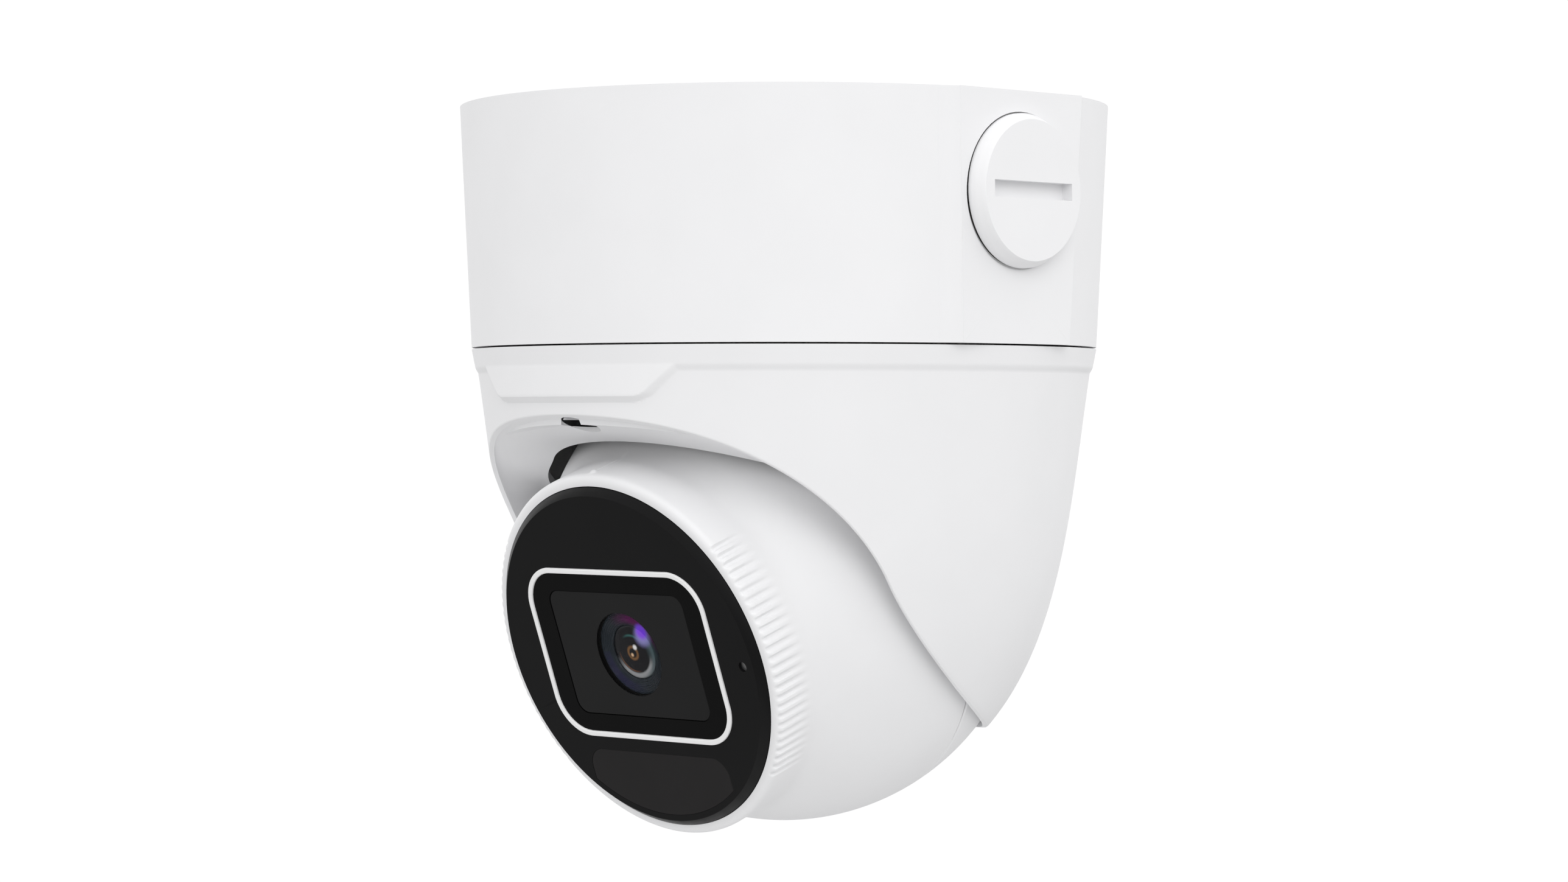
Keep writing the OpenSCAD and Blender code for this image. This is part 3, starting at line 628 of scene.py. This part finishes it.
def tint(nt, amount, under, colour):
    """Lays a colour over another one, by the given amount."""
    node = nt.nodes.new("ShaderNodeMix")
    node.data_type = "RGBA"
    nt.links.new(amount, node.inputs[0])
    nt.links.new(under, node.inputs[6])
    node.inputs[7].default_value = (*colour, 1)
    return node.outputs[2]


def on_front(nt, x0, y0):
    """Right, up and radius in millimetres of a point, seen from the front, about (x0, y0)."""
    place = nt.nodes.new("ShaderNodeTexCoord").outputs["Object"]
    out = []
    for direction, start in ((side, x0), (up, y0)):
        dot = nt.nodes.new("ShaderNodeVectorMath")
        dot.operation = "DOT_PRODUCT"
        nt.links.new(place, dot.inputs[0])
        dot.inputs[1].default_value = direction / MM
        out.append(calc(nt, "SUBTRACT", dot.outputs["Value"], float(centre @ direction) + start))
    squares = [calc(nt, "POWER", value, 2.0) for value in out]
    return out[0], out[1], calc(nt, "SQRT", calc(nt, "ADD", *squares))


# %% [markdown]
# ## The coated lens
# A real lens of this kind is a stack of coated glass in a ribbed black barrel. Traced glass
# would only mirror an empty room, so the coating's reflections are painted on a shallow dome:
# a dark pupil, a painted pale crescent of light below it, thin teal and copper arcs of painted
# reflection, a painted violet flare at the upper right and a painted amber glint from deep inside.

# %% Lens colours and painted reflections
lens_up, rib_pitch = 1.0, 0.42
# The lens material holds the glass's own dark colour plus painted reflections and highlights.
lens_colour_and_reflections = finish("lens_colour_and_painted_reflections", (0.01, 0.01, 0.012), 0.12, gloss=0.15, cloud=0.05, grain_depth=0)
nt = lens_colour_and_reflections.node_tree
x, y, far_out = on_front(nt, 0, lens_up)
turn_angle = calc(nt, "MULTIPLY", calc(nt, "ARCTAN2", y, x), 180 / math.pi)
colour = nt.nodes["Color Ramp"].outputs["Color"]


def painted_arc(low, high, soft, a_low, a_high, a_soft):
    """Stretch of a ring of painted light, from one radius and angle to another."""
    ring = band(nt, far_out, low, high, soft)
    return calc(nt, "MULTIPLY", ring, band(nt, turn_angle, a_low, a_high, a_soft))


def painted_spot(x0, y0, radius, soft):
    """Round painted highlight, placed to the right and up from the lens axis."""
    far = on_front(nt, x0, lens_up + y0)[2]
    return fade(nt, far, radius + soft, radius - soft)


# Painted rib shade: light and dark stripes stand in for light falling on the barrel's ribs.
painted_rib_shade = calc(nt, "SINE", calc(nt, "MULTIPLY", far_out, 2 * math.pi / rib_pitch))
painted_rib_shade = calc(nt, "MULTIPLY_ADD", painted_rib_shade, 0.2, 0.8)
ring_zone = calc(nt, "MULTIPLY", fade(nt, far_out, 5.2, 5.8), painted_rib_shade)
colour = tint(nt, ring_zone, colour, (0.036, 0.046, 0.056))
for amount, shade in (
    # painted reflections: lavender and magenta glow on the ribbed ring
    (painted_arc(6.6, 8.3, 0.5, -175, -100, 30), (0.035, 0.035, 0.075)),
    (painted_arc(6.2, 8.2, 0.7, 25, 100, 30), (0.16, 0.02, 0.13)),
    # painted light: pale crescent where the inner ring faces the light, and its fading tail
    (painted_arc(4.25, 5.3, 0.25, -150, -20, 25), (0.34, 0.35, 0.36)),
    (painted_arc(4.9, 5.6, 0.3, -60, 40, 30), (0.12, 0.15, 0.16)),
    (painted_arc(4.4, 6.2, 0.9, -10, 60, 25), (0.07, 0.11, 0.12)),
    # painted reflections: teal and copper arcs in the coating
    (painted_arc(3.4, 3.8, 0.2, 40, 110, 20), (0.04, 0.13, 0.12)),
    (painted_arc(3.8, 4.05, 0.15, -170, -90, 20), (0.17, 0.075, 0.04)),
    # painted reflection: violet flare of the light in the front dome
    (painted_spot(3.7, 3.6, 1.9, 1.0), (0.3, 0.28, 0.62)),
    (painted_spot(3.6, 4.5, 1.5, 0.6), (0.3, 0.1, 0.9)),
    # painted glint: amber glint with a painted warm and a painted white highlight
    (painted_arc(1.0, 1.5, 0.25, -200, 200, 1), (0.2, 0.1, 0.04)),
    (painted_spot(-0.3, -0.4, 0.35, 0.2), (0.75, 0.5, 0.3)),
    (painted_spot(0.9, 1.2, 0.5, 0.25), (0.85, 0.85, 0.85)),
):
    colour = tint(nt, amount, colour, shade)
nt.links.new(colour, nt.nodes["Principled BSDF"].inputs["Base Color"])

# %% Lens and barrel
glass_r, barrel_r, barrel_front, barrel_back = 5.6, 8.65, 43.34, 31
glass_back, dome_foot, dome_height = 39, 42.75, 0.55
dome = [(glass_r, glass_back), (glass_r, dome_foot)]
dome += [(glass_r * math.cos(a), dome_foot + dome_height * math.sin(a)) for a in np.linspace(0.12, 1.5, 12)]
lens_axis = np.array([0, lens_up, 0])
glass = ring_solid("front_glass", in_ball(lathe(dome, 96) + lens_axis), closed=False)
stand_in(glass, "front_lens", "ball")
glass.data.materials[0] = lens_colour_and_reflections

rib_count, rib_spacing, rib_depth, rib_sink, clearance = 12, 0.22, 0.12, 0.02, 0.05
run = [(barrel_r, barrel_back), (barrel_r, barrel_front - 0.15), (barrel_r - 0.15, barrel_front)]
for i in range(rib_count):
    rib, top = barrel_r - 0.3 - i * rib_spacing, barrel_front - rib_sink * i
    run += [(rib, top), (rib - 0.05, top - rib_depth), (rib - 0.11, top - rib_depth), (rib - 0.16, top)]
run += [(glass_r + clearance, barrel_front - 0.4), (glass_r + clearance, barrel_back)]
barrel = ring_solid("ribbed_barrel", in_ball(lathe(run, 96) + lens_axis), sharp=30)
stand_in(barrel, "lens_barrel", "ball")
barrel.data.materials[0] = lens_colour_and_reflections

# %% [markdown]
# ## Window, mask and border
# A black foam mask lies right behind the clear window. Seen from outside, everything but
# the lens is one even dark grey, with a deeper black border printed round it. The window is
# therefore see-through only over the lens.


# %% Window, mask and border
def rounded_plate(name, width, height, corner, low, high, hole=None, edge=0.1, steps=10):
    """A plate with round corners about the lens axis; hole is its opening's width, height
    and corner radius."""
    def outline(w, h, r):
        points = []
        for k, (sx, sy) in enumerate(((1, 1), (-1, 1), (-1, -1), (1, -1))):
            a = np.linspace(0, np.pi / 2, steps) + k * np.pi / 2
            points += list(zip(sx * (w / 2 - r) + r * np.cos(a), sy * (h / 2 - r) + r * np.sin(a)))
        return np.array(points)

    def level(w, h, r, t):
        o = outline(w, h, max(r, 0.05))
        return np.column_stack([o[:, 0], o[:, 1] + lens_up, np.full(len(o), t)])

    rows = [level(width, height, corner, low), level(width, height, corner, high - edge),
            level(width - 2 * edge, height - 2 * edge, corner - edge, high)]
    if hole:
        rows += [level(*hole, high), level(*hole, low)]
    return ring_solid(name, in_ball(np.array(rows)), closed=bool(hole), sharp=40)


mask = rounded_plate("foam_mask", 34.4, 22.7, 2, 38, 43.36, hole=(17.4, 17.4, 8.7), edge=0.05)
stand_in(mask, "light_baffle", "ball")
window = rounded_plate("clear_window", 37.5, 25.8, 2.75, 43.42, 44.4, edge=0.12)
stand_in(window, "lens_window", "ball")
window_hole = (37.6, 25.9, 2.8)
border = rounded_plate("printed_border", 47.26, 33.16, 7.18, 43.72, 44.52, hole=window_hole, edge=0.05)
border_ink = finish("border_ink", (0.003, 0.003, 0.003), 0.3, gloss=0.06, cloud=0.04, grain_depth=0)
border.data.materials.append(border_ink)
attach(border, "ball")
report(border)

# %% See-through over the lens
pane = finish("window_pane", (0.0125, 0.0125, 0.0127), 0.2, gloss=0.1, cloud=0.04, grain_depth=0)
nt = pane.node_tree
far_out = on_front(nt, 0, lens_up + 0.1)[2]
solid = calc(nt, "MULTIPLY_ADD", fade(nt, far_out, 8.45, 8.75), 0.95, 0.05)
nt.links.new(solid, nt.nodes["Principled BSDF"].inputs["Alpha"])
window.data.materials[0] = pane

# %% [markdown]
# ## Soft edges
# Moulded and cast edges are never razor sharp: a radius of a few tenths catches a line of
# light. A bevel modifier on the finished CAD pieces does this without touching their meshes.


# %% Soft edges
SOFT_EDGES = {"conduit_plug": 0.3, "trim_frame": 0.25, "ir_window": 0.12, "front_panel": 0.08,
              "lock_screw": 0.15}


def soften(piece, width, segments=2, limit=35):
    join = piece.modifiers.new("weld", "WELD")
    join.merge_threshold = 1e-5
    step = piece.modifiers.new("soft_edge", "BEVEL")
    step.width, step.segments, step.limit_method = width * MM, segments, "ANGLE"
    step.angle_limit = math.radians(limit)
    step.harden_normals = True


for node_name, width in SOFT_EDGES.items():
    soften(nodes[node_name], width)
print("soft edges on", ", ".join(SOFT_EDGES))
